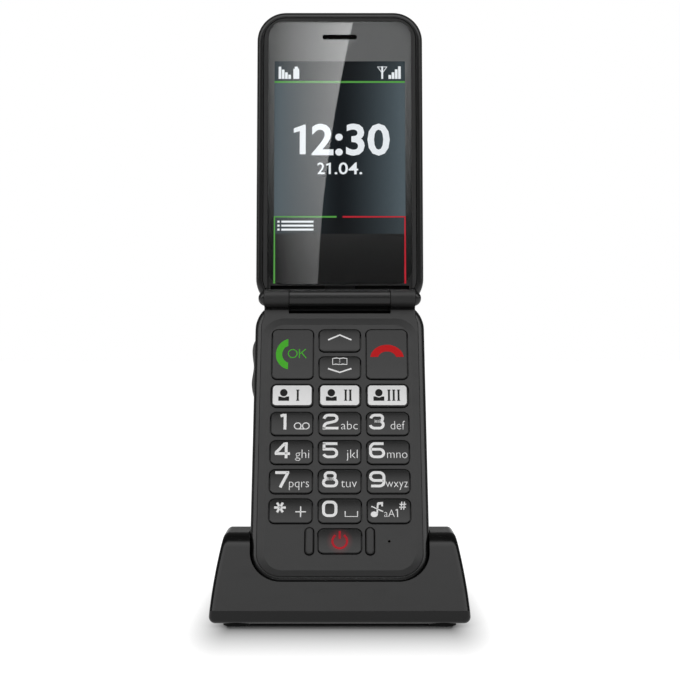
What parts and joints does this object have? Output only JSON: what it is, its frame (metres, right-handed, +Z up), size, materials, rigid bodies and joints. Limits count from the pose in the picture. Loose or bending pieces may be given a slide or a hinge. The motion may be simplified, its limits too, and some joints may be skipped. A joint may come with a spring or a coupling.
{
  "type": "flip phone",
  "caption": "Clamshell mobile phone with raised large keys, standing open in a charging cradle, with folding lid, pressing keys and a lift-off battery cover.",
  "frame": {"origin": "on the table under the middle of the whole part", "axes": "+X to the right of someone facing the keys, +Y away from them, +Z up"},
  "size_m": [0.0772, 0.0648, 0.1921],
  "materials": {
    "cradle_plastic": "fine matt moulded plastic",
    "shell_plastic": "fine matt moulded plastic",
    "fascia_plastic": "satin plastic",
    "key_plastic": "satin plastic",
    "lens_glass": "clear polished sheet",
    "display": "display module",
    "rubber": "matt rubber",
    "steel": "plain steel",
    "gold_contact": "plated contact",
    "circuit_board": "solder-masked board",
    "cell_wrap": "wrapped cell",
    "dark_part": "moulded plastic"
  },
  "bodies": {
    "cradle": {"cradle_housing": "cradle_plastic", "cradle_floor_plate": "cradle_plastic", "cradle_screws": "steel", "cradle_feet": "rubber", "cradle_ballast": "steel", "cradle_power_inlet": "steel", "cradle_board": "circuit_board"},
    "phone_base": {"base_front_shell": "fascia_plastic", "base_rear_shell": "shell_plastic", "sos_switch": "dark_part", "key_dome_sheet": "dark_part", "microphone": "dark_part", "shield_cans": "steel", "battery": "cell_wrap", "sim_holder": "steel", "main_board": "circuit_board", "loudspeaker": "dark_part", "vibration_motor": "steel", "usb_socket": "steel", "charge_pads": "gold_contact", "base_screws": "steel", "hinge_pins": "steel", "hinge_end_caps": "shell_plastic"},
    "lid": {"lid_rear_shell": "shell_plastic", "lid_front_frame": "fascia_plastic", "display_lens": "lens_glass", "earpiece_mesh": "dark_part", "display_panel": "display", "display_chassis": "steel", "earpiece": "dark_part", "lid_board": "circuit_board", "camera_window": "lens_glass", "camera_module": "dark_part", "flex_cable": "dark_part", "lid_screws": "steel"},
    "key_ok": {"key_ok": "key_plastic"},
    "key_up": {"key_up": "key_plastic"},
    "key_down": {"key_down": "key_plastic"},
    "key_end": {"key_end": "key_plastic"},
    "key_power": {"key_power": "key_plastic"},
    "key_memory_1": {"key_memory_1": "key_plastic"},
    "key_1": {"key_1": "key_plastic"},
    "key_4": {"key_4": "key_plastic"},
    "key_7": {"key_7": "key_plastic"},
    "key_memory_2": {"key_memory_2": "key_plastic"},
    "key_2": {"key_2": "key_plastic"},
    "key_5": {"key_5": "key_plastic"},
    "key_8": {"key_8": "key_plastic"},
    "key_memory_3": {"key_memory_3": "key_plastic"},
    "key_3": {"key_3": "key_plastic"},
    "key_6": {"key_6": "key_plastic"},
    "key_9": {"key_9": "key_plastic"},
    "key_star": {"key_star": "key_plastic"},
    "key_0": {"key_0": "key_plastic"},
    "key_hash": {"key_hash": "key_plastic"},
    "volume_rocker": {"volume_rocker": "key_plastic"},
    "sos_key": {"sos_key": "key_plastic"},
    "battery_cover": {"battery_cover": "shell_plastic"},
    "contact_pin_right": {"contact_pin_right": "gold_contact"},
    "contact_pin_left": {"contact_pin_left": "gold_contact"}
  },
  "joints": [
    {"name": "lift_out", "type": "slide", "parent": "cradle", "child": "phone_base", "axis": [0, 0.4462, 0.8949], "range_m": [0, 0.06]},
    {"name": "lid_hinge", "type": "hinge", "parent": "phone_base", "child": "lid", "pos_m": [0, 0.014, 0.0979], "axis": [1, 0, 0], "range_deg": [0, 160]},
    {"name": "key_ok_press", "type": "slide", "parent": "phone_base", "child": "key_ok", "axis": [0, 0.8949, -0.4462], "range_m": [0, 0.00035], "stiffness_N_per_m": 400},
    {"name": "key_up_press", "type": "slide", "parent": "phone_base", "child": "key_up", "axis": [0, 0.8949, -0.4462], "range_m": [0, 0.00035], "stiffness_N_per_m": 400},
    {"name": "key_down_press", "type": "slide", "parent": "phone_base", "child": "key_down", "axis": [0, 0.8949, -0.4462], "range_m": [0, 0.00035], "stiffness_N_per_m": 400},
    {"name": "key_end_press", "type": "slide", "parent": "phone_base", "child": "key_end", "axis": [0, 0.8949, -0.4462], "range_m": [0, 0.00035], "stiffness_N_per_m": 400},
    {"name": "key_power_press", "type": "slide", "parent": "phone_base", "child": "key_power", "axis": [0, 0.8949, -0.4462], "range_m": [0, 0.00035], "stiffness_N_per_m": 400},
    {"name": "key_memory_1_press", "type": "slide", "parent": "phone_base", "child": "key_memory_1", "axis": [0, 0.8949, -0.4462], "range_m": [0, 0.00035], "stiffness_N_per_m": 400},
    {"name": "key_1_press", "type": "slide", "parent": "phone_base", "child": "key_1", "axis": [0, 0.8949, -0.4462], "range_m": [0, 0.00035], "stiffness_N_per_m": 400},
    {"name": "key_4_press", "type": "slide", "parent": "phone_base", "child": "key_4", "axis": [0, 0.8949, -0.4462], "range_m": [0, 0.00035], "stiffness_N_per_m": 400},
    {"name": "key_7_press", "type": "slide", "parent": "phone_base", "child": "key_7", "axis": [0, 0.8949, -0.4462], "range_m": [0, 0.00035], "stiffness_N_per_m": 400},
    {"name": "key_memory_2_press", "type": "slide", "parent": "phone_base", "child": "key_memory_2", "axis": [0, 0.8949, -0.4462], "range_m": [0, 0.00035], "stiffness_N_per_m": 400},
    {"name": "key_2_press", "type": "slide", "parent": "phone_base", "child": "key_2", "axis": [0, 0.8949, -0.4462], "range_m": [0, 0.00035], "stiffness_N_per_m": 400},
    {"name": "key_5_press", "type": "slide", "parent": "phone_base", "child": "key_5", "axis": [0, 0.8949, -0.4462], "range_m": [0, 0.00035], "stiffness_N_per_m": 400},
    {"name": "key_8_press", "type": "slide", "parent": "phone_base", "child": "key_8", "axis": [0, 0.8949, -0.4462], "range_m": [0, 0.00035], "stiffness_N_per_m": 400},
    {"name": "key_memory_3_press", "type": "slide", "parent": "phone_base", "child": "key_memory_3", "axis": [0, 0.8949, -0.4462], "range_m": [0, 0.00035], "stiffness_N_per_m": 400},
    {"name": "key_3_press", "type": "slide", "parent": "phone_base", "child": "key_3", "axis": [0, 0.8949, -0.4462], "range_m": [0, 0.00035], "stiffness_N_per_m": 400},
    {"name": "key_6_press", "type": "slide", "parent": "phone_base", "child": "key_6", "axis": [0, 0.8949, -0.4462], "range_m": [0, 0.00035], "stiffness_N_per_m": 400},
    {"name": "key_9_press", "type": "slide", "parent": "phone_base", "child": "key_9", "axis": [0, 0.8949, -0.4462], "range_m": [0, 0.00035], "stiffness_N_per_m": 400},
    {"name": "key_star_press", "type": "slide", "parent": "phone_base", "child": "key_star", "axis": [0, 0.8949, -0.4462], "range_m": [0, 0.00035], "stiffness_N_per_m": 400},
    {"name": "key_0_press", "type": "slide", "parent": "phone_base", "child": "key_0", "axis": [0, 0.8949, -0.4462], "range_m": [0, 0.00035], "stiffness_N_per_m": 400},
    {"name": "key_hash_press", "type": "slide", "parent": "phone_base", "child": "key_hash", "axis": [0, 0.8949, -0.4462], "range_m": [0, 0.00035], "stiffness_N_per_m": 400},
    {"name": "sos_key_press", "type": "slide", "parent": "phone_base", "child": "sos_key", "axis": [0, -0.8949, 0.4462], "range_m": [0, 0.0004], "stiffness_N_per_m": 500},
    {"name": "volume_rocker_tilt", "type": "hinge", "parent": "phone_base", "child": "volume_rocker", "pos_m": [-0.02415, 0.00878, 0.0752], "axis": [0, -0.8949, 0.4462], "range_deg": [-2, 2], "stiffness_Nm_per_rad": 0.2},
    {"name": "battery_cover_off", "type": "slide", "parent": "phone_base", "child": "battery_cover", "axis": [0, 0.8949, -0.4462], "range_m": [0, 0.02]},
    {"name": "contact_pin_right_press", "type": "slide", "parent": "cradle", "child": "contact_pin_right", "axis": [0, -0.4462, -0.8949], "range_m": [0, 0.0008], "stiffness_N_per_m": 250},
    {"name": "contact_pin_left_press", "type": "slide", "parent": "cradle", "child": "contact_pin_left", "axis": [0, -0.4462, -0.8949], "range_m": [0, 0.0008], "stiffness_N_per_m": 250}
  ]
}
